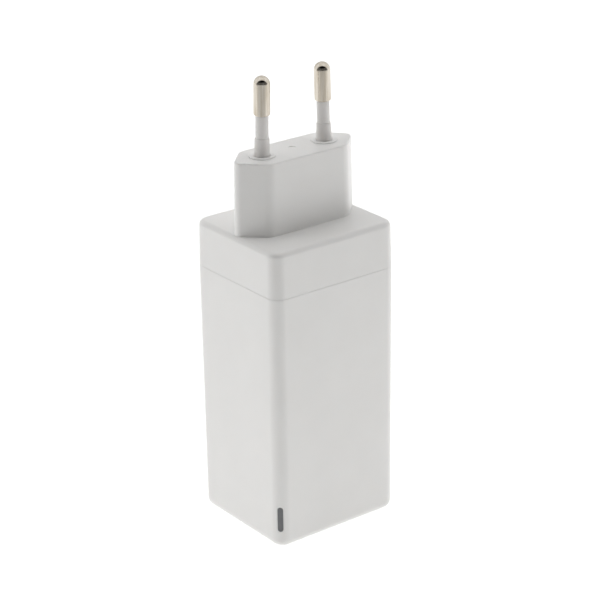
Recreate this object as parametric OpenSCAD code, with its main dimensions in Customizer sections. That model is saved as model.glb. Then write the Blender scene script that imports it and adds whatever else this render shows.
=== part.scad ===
// Plug-in USB-C power adapter for a laptop, with a fixed two-pin European plug.
// It stands on its port end. The origin is the centre of that end, +Z runs up to the pins,
// +X runs along the line of the two pins, and +Y runs to the back.

/* [Case] */
// Width of the case at the parting line
case_w = 36.6; // [36:0.1:40]
// Depth of the case at the parting line
case_d = 32.8; // [32.4:0.1:36]
// Width of the port end, with its draft
base_w = 36.4; // [36:0.1:40]
// Depth of the port end, with its draft
base_d = 32.4; // [32:0.1:36]
// Height of the parting line between shell and cap
parting_z = 65.6; // [65:0.1:70]
// Radius of the upright corners
corner_r = 3.2; // [3:0.1:4]
// Rounding of the lower edge
base_round = 2.1; // [1:0.1:2.4]
// Thickness of the walls
wall = 2; // [1.8:0.1:2.2]
// Open seam that shows between shell and cap
seam = 0.05; // [0.05:0.05:0.3]

/* [Cap] */
// Height of the cap's flat top
cap_z = 77.1; // [77:0.1:82]
// Width of the cap at its top
cap_w = 36.3; // [36:0.1:40]
// Depth of the cap at its top
cap_d = 32.3; // [32:0.1:36]
// Rounding of the cap's upper edge
cap_round = 1.3; // [0.5:0.1:1.8]

/* [Plug] */
// Height of the plug's engagement face
face_z = 95.2; // [95.2:0.1:100]
// Length of the engagement face
plug_l = 33.8; // [33.4:0.1:35.3]
// Width of the engagement face
plug_w = 12.5; // [12:0.1:13.7]
// Extra length of the plug block at its foot
plug_draft_l = 0.8; // [0:0.1:1]
// Extra width of the plug block at its foot
plug_draft_w = 0.1; // [0:0.1:0.6]
// Radius of the two pointed ends
plug_tip_r = 1.9; // [1:0.1:3]
// Radius where a slope meets a long flat
plug_bend_r = 4; // [1:0.5:5]
// Rounding of the face's edge
face_round = 0.4; // [0.2:0.1:0.6]

/* [Pins] */
// Radius of the bare pin
pin_r = 2; // [1.97:0.01:2.03]
// Length of a pin from the engagement face
pin_l = 19.5; // [18.5:0.1:19.5]
// Distance between the pins at the face
pitch_base = 18.4; // [18:0.1:19.2]
// Distance between the pins at their tips
pitch_tip = 17.6; // [17:0.1:18]
// Height of the insulating sleeve above the face
sleeve_l = 10; // [9.5:0.1:10.5]
// Height of the sleeve's thicker foot
foot_l = 4.4; // [3:0.1:6]
// Radius of the thin part of the sleeve
sleeve_r = 1.55; // [1.5:0.05:1.9]
// Radius of the pin seat that fills the hole in the face
collar_r = 3.2; // [3:0.05:3.4]

/* [Port] */
// Inside width of the USB-C receptacle
port_w = 8.34; // [8.34:0.01:8.4]
// Inside height of the USB-C receptacle
port_h = 2.56; // [2.56:0.01:2.6]
// Depth of the receptacle's mouth behind the port end
port_recess = 0.5; // [0.2:0.1:0.8]

/* [Light] */
// Height of the middle of the light window
light_z = 7.85; // [7.5:0.05:8.5]
// Length of the light window
light_l = 6.6; // [6:0.1:8]
// Width of the light window
light_w = 1.35; // [1:0.05:1.6]

/* [Boards] */
// Thickness of the main board
main_t = 1.2; // [1:0.1:1.3]
// Front face of the main board, behind the middle of the case
main_y = 9; // [8.9:0.1:9.2]
// Underside of the output board
output_z = 8.2; // [8.2:0.1:8.6]
// Underside of the input board
input_z = 71; // [70.9:0.1:71.2]

/* [Hidden] */
$fn = 48;
slack = 0.05;
lead_r = 0.35;
lead_hole_r = 0.5;
pin_tilt = atan((pitch_base - pitch_tip) / 2 / pin_l);

shell_white = [0.93, 0.93, 0.92];
nickel = [0.78, 0.74, 0.68];
board_green = [0.1, 0.36, 0.22];
chip_black = [0.12, 0.12, 0.13];
copper = [0.75, 0.42, 0.25];
steel = [0.72, 0.73, 0.75];

// ---- Shared shapes ----

// Rectangle with rounded corners, centred
module plate(w, d, r) {
  union() {
    square([w - 2 * r, d], center = true);
    square([w, d - 2 * r], center = true);
    for (x = [-1, 1], y = [-1, 1])
      translate([x * (w / 2 - r), y * (d / 2 - r)]) circle(r);
  }
}

// Slot with round ends along X, centred
module slot(length, width) {
  union() {
    square([length - width, width], center = true);
    for (x = [-1, 1]) translate([x * (length - width) / 2, 0]) circle(d = width);
  }
}

// Lower end of a corner post, with its rim rounded by e
module post_end(r, e) {
  rim = e > 0 ? [for (a = [0:15:90]) [r - e + e * sin(a), e - e * cos(a)]] : [[r, 0]];
  rotate_extrude($fn = 32)
    polygon(concat([[0, 0]], rim, [[r, e + 0.02], [0, e + 0.02]]));
}

// Rounded box whose walls lean from one [width, depth, height] to another
module drafted_box(low, high, r, round_low = 0, round_high = 0) {
  hull()
    for (x = [-1, 1], y = [-1, 1]) {
      translate([x * (low.x / 2 - r), y * (low.y / 2 - r), low.z]) post_end(r, round_low);
      translate([x * (high.x / 2 - r), y * (high.y / 2 - r), high.z])
        mirror([0, 0, 1]) post_end(r, round_high);
    }
}

// Leads that stand on the XY plane, with their holes when they are made wider
module leads(places, h, r = lead_r) {
  for (p = places) translate([p.x, p.y, 0]) cylinder(h = h, r = r, $fn = 24);
}

// Puts +Z of a piece along -Y of the case, out of the front of the main board, at [x, z]
module on_main(x, z) {
  translate([x, main_y, z]) rotate([90, 0, 0]) children();
}

// Hangs a piece under the input board, +Z downwards, at [x, y]
module under_input(x, y) {
  translate([x, y, input_z]) mirror([0, 0, 1]) children();
}

// Puts a pin's own axis in its place on the face: side is -1 for left and 1 for right
module at_pin(side) {
  translate([side * pitch_base / 2, 0, face_z]) rotate([0, -side * pin_tilt, 0]) children();
}

// ---- Case ----

rim_z = parting_z - seam / 2;
cap_low_z = parting_z + seam / 2;
lip_t = 1;
lip_h = 2;
roof_t = 2;
floor_t = 2;
rail_h = 58;
rail_reach = 0.9;
post_r = 1.6;
peg_r = 0.6;
peg_places = [[11.6, 10.6], [-11.6, 10.6], [11.6, -10.6], [-11.6, -4.5]];
inner_r = corner_r - wall;

// Centre of the front left corner's rounding at the light window
light_x = -(base_w + (case_w - base_w) * light_z / parting_z) / 2 + corner_r;
light_y = -(base_d + (case_d - base_d) * light_z / parting_z) / 2 + corner_r;

// The window's own frame: +Z looks out of the corner and +Y is up
module at_light() {
  translate([light_x, light_y, light_z]) rotate([90, 0, -45]) children();
}

module light_stem(grow) {
  linear_extrude(corner_r + 1) rotate([0, 0, 90]) slot(light_l + 2 * grow, light_w + 2 * grow);
}

module board_rails() {
  for (x = [-1, 1], y = [main_y - slack - 1, main_y + main_t + slack])
    translate([x > 0 ? base_w / 2 - wall - rail_reach : -base_w / 2 + wall - 0.6, y, floor_t - 0.1])
      cube([rail_reach + 0.6, 1, rail_h]);
}

module board_posts() {
  for (p = peg_places) translate([p.x, p.y, floor_t - 0.1]) {
    cylinder(h = output_z - floor_t, r = post_r, $fn = 32);
    cylinder(h = output_z - floor_t + 1.6, r = peg_r, $fn = 24);
  }
}

module port_cut() {
  open_w = port_w + 1.0;
  open_h = port_h + 1.0;
  translate([0, 0, -1]) linear_extrude(floor_t + 2) slot(open_w, open_h);
  hull()
    for (x = [-1, 1])
      translate([x * (open_w - open_h) / 2, 0, -0.01])
        cylinder(h = 0.35, r1 = open_h / 2 + 0.35, r2 = open_h / 2, $fn = 32);
}

module body_shell() {
  color(shell_white)
    difference() {
      union() {
        difference() {
          drafted_box([base_w, base_d, 0], [case_w, case_d, rim_z], corner_r, base_round);
          drafted_box([base_w - 2 * wall, base_d - 2 * wall, floor_t],
            [case_w - 2 * wall, case_d - 2 * wall, rim_z + 1], inner_r);
        }
        board_rails();
        board_posts();
      }
      translate([0, 0, rim_z - lip_h])
        linear_extrude(lip_h + 1)
          plate(case_w - 2 * lip_t, case_d - 2 * lip_t, corner_r - lip_t);
      port_cut();
      at_light() light_stem(slack);
    }
}

// ---- Cap and plug block ----

face_t = 3;
seat_depth = 1.5;
shank_r = 2.1;
shank_l = 7;
boss_r = 3.9;
boss_l = 8.3;
tail_l = 4.2;

// Outline posts of the plug block: 45 degree slopes touch the tip and the bend circles
module plug_prism(grow_low, grow_high, z_low, z_high) {
  k = sqrt(2) - 1;
  function half_l(g) = (plug_l + g.x) / 2;
  function half_w(g) = (plug_w + g.y) / 2;
  function bend_x(g) = half_l(g) + k * (plug_tip_r - plug_bend_r) - half_w(g);
  hull() {
    for (x = [-1, 1]) {
      translate([x * (half_l(grow_low) - plug_tip_r), 0, z_low]) post_end(plug_tip_r, 0);
      translate([x * (half_l(grow_high) - plug_tip_r), 0, z_high])
        mirror([0, 0, 1]) post_end(plug_tip_r, face_round);
    }
    for (x = [-1, 1], y = [-1, 1]) {
      translate([x * bend_x(grow_low), y * (half_w(grow_low) - plug_bend_r), z_low])
        post_end(plug_bend_r, 0);
      translate([x * bend_x(grow_high), y * (half_w(grow_high) - plug_bend_r), z_high])
        mirror([0, 0, 1]) post_end(plug_bend_r, face_round);
    }
  }
}

module plug_hollow() {
  half_l = plug_l / 2 - 1.5 * wall;
  half_w = plug_w / 2 - wall;
  translate([0, 0, cap_z - roof_t - 1])
    linear_extrude(face_z - face_t - cap_z + roof_t + 1)
      polygon([[half_l, 0], [half_l - half_w, half_w], [half_w - half_l, half_w],
        [-half_l, 0], [half_w - half_l, -half_w], [half_l - half_w, -half_w]]);
}

module cap_outside() {
  union() {
    drafted_box([case_w, case_d, cap_low_z], [cap_w, cap_d, cap_z], corner_r,
      round_high = cap_round);
    plug_prism([plug_draft_l, plug_draft_w], [0, 0], cap_z - 0.5, face_z);
    translate([0, 0, rim_z - lip_h + slack])
      linear_extrude(lip_h + seam)
        plate(case_w - 2 * lip_t - 0.16, case_d - 2 * lip_t - 0.16, corner_r - lip_t - 0.08);
  }
}

stay_places = [[12.4, 10.6], [-12.4, 10.6], [12.4, -10.6], [-7.6, -11]];

module plug_cap() {
  color(shell_white)
    difference() {
      union() {
        difference() {
          cap_outside();
          drafted_box([case_w - 2 * wall, case_d - 2 * wall, rim_z - lip_h - 1],
            [cap_w - 2 * wall, cap_d - 2 * wall, cap_z - roof_t], inner_r);
          plug_hollow();
        }
        for (side = [-1, 1])
          translate([side * pitch_base / 2, 0, face_z - boss_l]) cylinder(h = boss_l - 1, r = boss_r);
        for (p = stay_places)
          translate([p.x, p.y, input_z + main_t + slack])
            cylinder(h = cap_z - input_z - main_t - 1, r = 1.5, $fn = 32);
      }
      for (side = [-1, 1]) {
        translate([side * pitch_base / 2, 0, face_z - seat_depth])
          cylinder(h = seat_depth + 1, r = collar_r + 0.1);
        at_pin(side) translate([0, 0, -boss_l - 1]) cylinder(h = boss_l + 1, r = shank_r + slack);
      }
      translate([0, 0.4, face_z - 0.15]) cylinder(h = 1, r = 1, $fn = 32);
    }
}

// ---- Plug pins ----

core_r = 1.15;

module pin_metal() {
  shoulder = 0.3;
  union() {
    translate([0, 0, pin_l - pin_r]) sphere(pin_r, $fn = 64);
    translate([0, 0, sleeve_l + shoulder])
      cylinder(h = pin_l - pin_r - sleeve_l - shoulder, r = pin_r, $fn = 64);
    translate([0, 0, sleeve_l])
      cylinder(h = shoulder, r1 = pin_r - shoulder, r2 = pin_r, $fn = 64);
    translate([0, 0, -seat_depth - 1]) cylinder(h = sleeve_l + seat_depth + 2, r = core_r);
    translate([0, 0, -seat_depth - shank_l]) cylinder(h = shank_l - 0.3, r = shank_r);
    translate([0, 0, -seat_depth - shank_l - tail_l]) cylinder(h = shank_l + tail_l, r = core_r);
  }
}

module pin_left() { color(nickel) at_pin(-1) pin_metal(); }
module pin_right() { color(nickel) at_pin(1) pin_metal(); }

module sleeve_body() {
  foot_top_r = 1.75;
  foot_low_r = 1.92;
  step = 0.15;
  difference() {
    union() {
      translate([0, 0, foot_l]) cylinder(h = sleeve_l - foot_l - slack, r = sleeve_r);
      translate([0, 0, foot_l]) cylinder(h = step, r1 = foot_top_r, r2 = sleeve_r);
      cylinder(h = foot_l, r1 = foot_low_r, r2 = foot_top_r);
      translate([0, 0, -seat_depth - 0.2]) cylinder(h = seat_depth + 0.2, r = foot_low_r);
    }
    translate([0, 0, -seat_depth - 1]) cylinder(h = sleeve_l + seat_depth + 2, r = core_r + slack);
  }
}

module sleeve_left() { color("gainsboro") at_pin(-1) sleeve_body(); }
module sleeve_right() { color("gainsboro") at_pin(1) sleeve_body(); }

module collar(side) {
  proud = 0.2;
  bevel = 0.15;
  translate([side * pitch_base / 2, 0, face_z - seat_depth + slack])
    difference() {
      union() {
        cylinder(h = seat_depth + proud - bevel - slack, r = collar_r);
        translate([0, 0, seat_depth + proud - bevel - slack])
          cylinder(h = bevel, r1 = collar_r, r2 = collar_r - bevel);
      }
      translate([0, 0, -1]) cylinder(h = seat_depth + 3, r = 2.02);
    }
}

module collar_left() { color("whitesmoke") collar(-1); }
module collar_right() { color("whitesmoke") collar(1); }

// Spring clip on the input board that grips a pin's tail between two blades
module contact(side) {
  blade_t = 0.35;
  blade_w = 4.6;
  foot_z = input_z + main_t + slack;
  grip_x = side * (pitch_base / 2 + sin(pin_tilt) * (seat_depth + shank_l + tail_l / 2));
  blade_top = face_z - seat_depth - shank_l - 0.7;
  translate([grip_x, 0, 0])
    union() {
      translate([-2.2, -blade_w / 2, foot_z]) cube([4.4, blade_w, blade_t]);
      for (s = [-1, 1])
        translate([s * (core_r + 0.15 + blade_t / 2) - blade_t / 2, -blade_w / 2, foot_z])
          cube([blade_t, blade_w, blade_top - foot_z]);
    }
}

module contact_left() { color("darkgoldenrod") contact(-1); }
module contact_right() { color("darkgoldenrod") contact(1); }

// ---- Status light ----

module light_pipe() {
  flange_w = 3;
  color([0.32, 0.32, 0.33])
    union() {
      intersection() {
        at_light() light_stem(0);
        translate([light_x, light_y, 0]) cylinder(h = 2 * light_z, r = corner_r - 0.02);
      }
      at_light() translate([0, 0, -0.9])
        linear_extrude(1) rotate([0, 0, 90]) slot(light_l + 1.2, flange_w);
    }
}

module status_led() {
  color("ivory")
    at_light() translate([-1, output_z - light_z - 0.9, -2.1]) cube([2, 0.8, 1]);
}

// ---- Input board and what hangs under it ----

input_w = 29.4;
input_d = 25.6;
link_pins = [for (i = [-1:1]) [2.54 * i, 0]];
input_link_y = main_y - 1.6;
fuse_at = [7.6, -9.4];
varistor_at = [8, -3.4];
xcap_at = [-7.4, -9.2];
choke_at = [-6.6, -0.2];
bridge_at = [8.2, 2.6];
fuse_leads = [[-2.54, 0], [2.54, 0]];
varistor_leads = [[-2.5, 0], [2.5, 0]];
xcap_leads = [[-5, 0], [5, 0]];
choke_leads = [[-4.6, -4.6], [4.6, -4.6], [-4.6, 4.6], [4.6, 4.6]];

module lead_holes(places) {
  translate([0, 0, -3]) leads(places, 6, lead_hole_r);
}

module input_board() {
  color(board_green)
    difference() {
      translate([0, 0, input_z]) linear_extrude(main_t) plate(input_w, input_d, 1.5);
      under_input(fuse_at.x, fuse_at.y) lead_holes(fuse_leads);
      under_input(varistor_at.x, varistor_at.y) lead_holes(varistor_leads);
      under_input(xcap_at.x, xcap_at.y) lead_holes(xcap_leads);
      under_input(choke_at.x, choke_at.y) lead_holes(choke_leads);
      under_input(0, input_link_y) lead_holes(link_pins);
    }
}

// Leads that pass up through the input board
module input_leads(places) {
  translate([0, 0, -main_t - 0.8]) leads(places, main_t + 1.2);
}

module fuse() {
  color("saddlebrown")
    under_input(fuse_at.x, fuse_at.y)
      union() {
        translate([-4.2, -2, 0.3]) cube([8.4, 4, 7.4]);
        input_leads(fuse_leads);
      }
}

module varistor() {
  color("royalblue")
    under_input(varistor_at.x, varistor_at.y)
      union() {
        translate([0, 1.9, 5]) rotate([90, 0, 0]) cylinder(h = 3.8, r = 4.6);
        translate([0, 0, 1.6]) input_leads(varistor_leads);
        input_leads(varistor_leads);
      }
}

module x_capacitor() {
  color("goldenrod")
    under_input(xcap_at.x, xcap_at.y)
      union() {
        translate([-6.4, -3, 0.3]) cube([12.8, 6, 11.4]);
        input_leads(xcap_leads);
      }
}

choke_mid = 5.4;
ring_r = 4;

module choke_core() {
  color("dimgray")
    under_input(choke_at.x, choke_at.y)
      translate([0, 0, choke_mid])
        rotate_extrude() translate([ring_r, 0]) square([2.2, 4.4], center = true);
}

// Each winding covers a third of the ring
module choke_windings() {
  color(copper)
    under_input(choke_at.x, choke_at.y)
      translate([0, 0, choke_mid])
        for (a = [-50, 130])
          rotate([0, 0, a])
            rotate_extrude(angle = 100)
              difference() {
                translate([ring_r, 0]) square([3.6, 6], center = true);
                translate([ring_r, 0]) square([2.4, 4.6], center = true);
              }
}

module choke_base() {
  color(chip_black)
    under_input(choke_at.x, choke_at.y)
      union() {
        translate([0, 0, 0.2]) linear_extrude(2) plate(11.6, 11.6, 1);
        input_leads(choke_leads);
      }
}

module bridge_rectifier() {
  color(chip_black)
    under_input(bridge_at.x, bridge_at.y)
      union() {
        translate([-4.2, -3.2, 0.2]) cube([8.4, 6.4, 2.4]);
        for (x = [-1, 1], y = [-1, 1])
          translate([x * 4.2 - 0.5, y * 2.4 - 0.4, slack]) cube([1, 0.8, 0.3]);
      }
}

// Pin header that joins the input board to the main board
module input_link() {
  color("dimgray")
    under_input(0, input_link_y)
      union() {
        translate([-4, -1.25, 0.2]) cube([8, 2.5, 2.5]);
        input_leads(link_pins);
      }
}

// ---- Main board and its parts ----

main_w = 31.6;
main_low_z = 10.2;
main_high_z = input_z - 0.4;
bulk_r = 5;
bulk_l = 20;
bulk_x = 10.1;
bulk_z = 50.6;
bulk_leads = [[-2.5, 0], [2.5, 0]];
core_z = 33;
core_w = 24.6;
core_h = 21;
core_t = 3.4;
core_depth = 10;
trans_mid = 9.2;
trans_leads = [for (i = [-2:2]) [3.4 * i, 0]];
rail_z = 8.2;
cap_out_r = 4;
cap_out_z = 15.6;
cap_out_l = 11.5;
cap_out_leads = [[-1.75, 0], [1.75, 0]];
ycap_at = [10.4, 15.6];
ycap_leads = [[-2.5, 0], [2.5, 0]];

// Lead holes drawn along the board's own normal
module main_holes(x, z, places) {
  on_main(x, z) lead_holes(places);
}

module main_board() {
  color(board_green)
    difference() {
      translate([-main_w / 2, main_y, main_low_z])
        cube([main_w, main_t, main_high_z - main_low_z]);
      for (x = [-bulk_x, 0, bulk_x]) main_holes(x, bulk_z, bulk_leads);
      for (s = [-1, 1]) main_holes(0, core_z + s * rail_z, trans_leads);
      for (x = [-10.4, -1]) main_holes(x, cap_out_z, cap_out_leads);
      main_holes(ycap_at.x, ycap_at.y, ycap_leads);
    }
}

module main_leads(places) {
  translate([0, 0, -main_t - 0.8]) leads(places, main_t + 1.2);
}

// Electrolytic can with a crimped groove near its seal
module can(r, l) {
  groove = 0.5;
  union() {
    translate([0, 0, 0.2]) cylinder(h = 1.6, r = r);
    translate([0, 0, 1.8]) cylinder(h = 0.8, r = r - groove);
    translate([0, 0, 2.6]) cylinder(h = l - 2.8, r = r);
    translate([0, 0, l - 0.2]) cylinder(h = 0.4, r1 = r, r2 = r - 0.4);
  }
}

module bulk_capacitors() {
  color("black")
    for (x = [-bulk_x, 0, bulk_x])
      on_main(x, bulk_z)
        union() {
          can(bulk_r, bulk_l);
          main_leads(bulk_leads);
        }
}

// The transformer stands with its middle leg upright, in front of the board
module at_transformer() {
  translate([0, main_y - trans_mid, core_z]) children();
}

module core_half() {
  half_h = core_h / 2;
  union() {
    translate([-core_w / 2, -core_depth / 2, half_h - core_t]) cube([core_w, core_depth, core_t]);
    for (x = [-core_w / 2, core_w / 2 - core_t])
      translate([x, -core_depth / 2, slack]) cube([core_t, core_depth, half_h - slack]);
    translate([0, 0, slack]) cylinder(h = half_h - slack, r = 3.6);
  }
}

module core_upper() { color("dimgray") at_transformer() core_half(); }
module core_lower() { color("dimgray") at_transformer() mirror([0, 0, 1]) core_half(); }

flange_r = 8.5;
bobbin_h = core_h - 2 * core_t - 0.4;

module bobbin() {
  flange_t = 0.8;
  color(chip_black)
    at_transformer()
      difference() {
        union() {
          cylinder(h = bobbin_h, r = 4.5, center = true);
          for (s = [-1, 1])
            translate([0, 0, s * (bobbin_h - flange_t) / 2]) {
              cylinder(h = flange_t, r = flange_r, center = true);
              translate([-8.4, 5.4, -flange_t / 2]) cube([16.8, 3.2, flange_t]);
            }
          for (s = [-1, 1]) translate([-8.4, 6, s * rail_z - 1.6]) cube([16.8, 2.8, 3.2]);
          for (s = [-1, 1], p = trans_leads)
            translate([p.x, 8.7, s * rail_z])
              rotate([-90, 0, 0]) cylinder(h = main_t + 1.4, r = lead_r, $fn = 24);
        }
        cylinder(h = bobbin_h + 1, r = 3.7, center = true);
      }
}

module winding(r_in, r_out) {
  at_transformer()
    rotate_extrude()
      translate([r_in, -(bobbin_h - 1.8) / 2]) square([r_out - r_in, bobbin_h - 1.8]);
}

module primary_winding() { color(copper) winding(4.55, 6.3); }
module secondary_winding() { color("gold") winding(6.4, 8.2); }

module core_tape() {
  tape_t = 0.2;
  color("khaki")
    at_transformer() rotate([90, 0, 0]) translate([0, 0, -3])
      linear_extrude(6)
        difference() {
          square([core_w + 2 * slack + 2 * tape_t, core_h + 2 * slack + 2 * tape_t], center = true);
          square([core_w + 2 * slack, core_h + 2 * slack], center = true);
        }
}

module y_capacitor() {
  color("royalblue")
    on_main(ycap_at.x, ycap_at.y)
      union() {
        translate([0, 0, 0.4]) cylinder(h = 3.6, r = 3.8);
        main_leads(ycap_leads);
      }
}

module output_capacitors() {
  color("silver")
    for (x = [-10.4, -1])
      on_main(x, cap_out_z)
        union() {
          can(cap_out_r, cap_out_l);
          main_leads(cap_out_leads);
        }
}

// Puts +Z of a flat part out of the back of the main board at [x, z]
module behind_main(x, z) {
  translate([x, main_y + main_t + slack, z]) rotate([-90, 0, 0]) children();
}

// Flat package with legs along two sides
module package(w, d, h, legs, pitch) {
  union() {
    translate([-w / 2, -d / 2, 0.1]) cube([w, d, h]);
    for (i = [0:legs - 1], s = [-1, 1])
      translate([(i - (legs - 1) / 2) * pitch - 0.2, s * (d / 2 + 0.3) - 0.5, 0])
        cube([0.4, 1, 0.25]);
  }
}

switch_at = [-6, 33];
switch_h = 1.6;

module primary_switch() {
  color(chip_black) behind_main(switch_at.x, switch_at.y) package(9, 7, switch_h, 5, 1.7);
}

module optocoupler() { color("white") behind_main(8.4, 30) package(4.6, 6.4, 2, 2, 2.54); }
module sync_rectifier() { color(chip_black) behind_main(-5, 20) package(6, 5, 1, 4, 1.27); }

// ---- Heat spreaders ----

spreader_t = 0.5;
spreader_back_y = base_d / 2 - wall - 1;
spreader_front_y = -base_d / 2 + wall + 0.5;

// Soft pad between the switch and its spreader
module primary_pad() {
  pad = 6.8;
  low_y = main_y + main_t + switch_h + 0.3;
  color("lightpink")
    translate([switch_at.x - pad / 2, low_y, switch_at.y - pad / 2])
      cube([pad, spreader_back_y - slack - low_y, pad]);
}

module primary_spreader() {
  color(steel) translate([-13, spreader_back_y, 24]) cube([26, spreader_t, 34]);
}

// Gap filler between the transformer and the front spreader
module secondary_pad() {
  high_y = main_y - trans_mid - flange_r - 0.2;
  low_y = spreader_front_y + spreader_t + slack;
  color("lightpink") translate([-8, low_y, 27]) cube([16, high_y - low_y, 12]);
}

module secondary_spreader() {
  color(steel) translate([-13, spreader_front_y, 14]) cube([26, spreader_t, 42]);
}

module insulation_film() {
  color("lightyellow")
    translate([-14, spreader_back_y + spreader_t + slack, 12]) cube([28, 0.2, 50]);
}

// ---- Output board and port ----

output_t = 1;
output_w = 29.4;
output_d = 27;
shell_t = 0.3;
port_back = port_recess + 6.2;
leg_places = [[-4.35, -0.9], [4.35, -0.9], [-4.35, 0.9], [4.35, 0.9]];
output_link_pins = [for (i = [-1.5:1.5]) [2.54 * i, 0]];

module output_board() {
  cut = light_x + light_y + 1.6;
  color(board_green)
    difference() {
      translate([0, 0, output_z]) linear_extrude(output_t) plate(output_w, output_d, 1);
      for (p = peg_places)
        translate([p.x, p.y, output_z - 1]) cylinder(h = output_t + 2, r = peg_r + 0.1, $fn = 24);
      for (p = leg_places)
        translate([p.x, p.y, output_z + output_t / 2]) cube([0.7, 1.2, output_t + 1], center = true);
      translate([0, input_link_y, output_z - 1]) leads(output_link_pins, 3, lead_hole_r);
      translate([0, 0, output_z - 1])
        linear_extrude(output_t + 2) polygon([[cut + 20, -20], [-20, cut + 20], [-20, -20]]);
    }
}

// Pin header that joins the output board to the main board
module output_link() {
  color("dimgray")
    translate([0, input_link_y, output_z])
      union() {
        translate([-5.2, -1.25, output_t + 0.1]) cube([10.4, 2.5, 1.6]);
        translate([0, 0, -0.8]) leads(output_link_pins, output_t + 1.2);
      }
}

module pd_controller() {
  color(chip_black) translate([-11, -6, output_z + output_t + slack]) cube([4, 4, 0.8]);
}

module bus_switch() {
  color(chip_black) translate([6, -7, output_z + output_t + slack]) cube([3.3, 3.3, 0.8]);
}

module usb_c_shell() {
  color(steel)
    union() {
      translate([0, 0, port_recess])
        linear_extrude(output_z - slack - port_recess)
          difference() {
            slot(port_w + 2 * shell_t, port_h + 2 * shell_t);
            slot(port_w, port_h);
          }
      for (p = leg_places)
        translate([p.x, p.y, output_z + output_t / 2 - 0.2])
          cube([0.3, 0.8, output_t + 1], center = true);
    }
}

// Tongue with the plug's contact rows, on the block that closes the back of the shell
module usb_c_insulator() {
  color(chip_black)
    union() {
      translate([-3.345, -0.35, port_recess + 0.86]) cube([6.69, 0.7, port_back - port_recess - 0.8]);
      translate([-3.5, -0.65, port_back - 0.9]) cube([7, 1.3, 1]);
      translate([0, 0, port_back])
        linear_extrude(output_z - 0.3 - port_back) slot(port_w - 0.1, port_h - 0.1);
    }
}

module usb_c_contacts() {
  contact_w = 0.25;
  contact_t = 0.06;
  color("gold")
    for (i = [0:11], s = [-1, 1])
      translate([(i - 5.5) * 0.5 - contact_w / 2, s * (0.35 + contact_t / 2 + 0.01) - contact_t / 2,
        port_recess + 1.2])
        cube([contact_w, contact_t, 3.4]);
}

body_shell();
plug_cap();
pin_left();
pin_right();
sleeve_left();
sleeve_right();
collar_left();
collar_right();
contact_left();
contact_right();
light_pipe();
status_led();
input_board();
fuse();
varistor();
x_capacitor();
choke_core();
choke_windings();
choke_base();
bridge_rectifier();
input_link();
main_board();
bulk_capacitors();
core_upper();
core_lower();
bobbin();
primary_winding();
secondary_winding();
core_tape();
y_capacitor();
primary_switch();
optocoupler();
sync_rectifier();
output_capacitors();
output_link();
output_board();
pd_controller();
bus_switch();
usb_c_shell();
usb_c_insulator();
usb_c_contacts();
primary_pad();
primary_spreader();
secondary_pad();
secondary_spreader();
insulation_film();
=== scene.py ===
import math

import bmesh
import bpy
from mathutils import Matrix, Vector


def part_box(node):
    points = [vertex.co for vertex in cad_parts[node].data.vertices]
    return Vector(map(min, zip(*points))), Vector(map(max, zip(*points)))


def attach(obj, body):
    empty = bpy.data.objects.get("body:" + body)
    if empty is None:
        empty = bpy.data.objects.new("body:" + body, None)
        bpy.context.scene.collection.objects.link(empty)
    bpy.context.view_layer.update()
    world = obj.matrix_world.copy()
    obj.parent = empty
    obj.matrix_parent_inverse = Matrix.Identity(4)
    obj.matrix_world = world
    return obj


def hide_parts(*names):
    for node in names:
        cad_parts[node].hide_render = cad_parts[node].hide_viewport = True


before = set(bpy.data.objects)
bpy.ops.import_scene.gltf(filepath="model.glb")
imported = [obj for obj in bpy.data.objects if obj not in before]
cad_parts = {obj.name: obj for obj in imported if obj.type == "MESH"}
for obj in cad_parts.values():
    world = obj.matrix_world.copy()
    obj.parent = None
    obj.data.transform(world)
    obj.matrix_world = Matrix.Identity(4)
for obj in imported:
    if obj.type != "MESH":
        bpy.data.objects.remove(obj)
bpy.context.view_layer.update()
MM = 0.001

# ------------------------------------------------------------------------------------------
# Shell
# A deep cup of white polycarbonate, injection moulded with a little draft so that it leaves its
# mould. Its floor holds the port, and its near left corner holds the status window.
# ------------------------------------------------------------------------------------------
shell_low, shell_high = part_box("body_shell")
cap_low, cap_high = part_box("plug_cap")

CASE_W = shell_high.x - shell_low.x
CASE_D = shell_high.y - shell_low.y
RIM_Z = 65.58 * MM
SEAM = 0.04 * MM                     # open seam between shell and cap
BASE_W = CASE_W - 0.2 * MM
BASE_D = CASE_D - 0.4 * MM
WALL = 2.0 * MM
CORNER_R = 3.2 * MM
BASE_ROUND = 2.1 * MM
SEAM_ROUND = 0.03 * MM
LIP = 1.0 * MM                       # the rim's outer half, which the cap's tongue fits behind
LIP_DEPTH = 2.0 * MM

PORT_W = 8.34 * MM
PORT_H = 2.56 * MM
PORT_GAP = 0.5 * MM                  # room round the receptacle's mouth, on each side
PORT_LEAD_IN = 0.35 * MM

RAIL_T = 1.0 * MM                    # rails that the main board slides down between
RAIL_REACH = 0.9 * MM
RAIL_GAP = 0.05 * MM
RAIL_TOP = 59.9 * MM
PEGS = [(11.6, 10.6), (-11.6, 10.6), (11.6, -10.6), (-11.6, -4.5)]    # mm, under the output board

WINDOW_Z = 7.85 * MM
WINDOW_LONG = 6.6 * MM
WINDOW_WIDE = 1.35 * MM
WINDOW_GAP = 0.04 * MM
DRAFT_AT_WINDOW = WINDOW_Z / RIM_Z
WINDOW_CORNER = Vector((
    CORNER_R - (BASE_W + (CASE_W - BASE_W) * DRAFT_AT_WINDOW) / 2,
    CORNER_R - (BASE_D + (CASE_D - BASE_D) * DRAFT_AT_WINDOW) / 2,
    WINDOW_Z,
))


def arc(centre, radius, start, end, steps):
    """Points along an arc, with its angles in degrees."""
    turns = [math.radians(start + (end - start) * i / steps) for i in range(steps + 1)]
    return [(centre[0] + radius * math.cos(a), centre[1] + radius * math.sin(a)) for a in turns]


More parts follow.
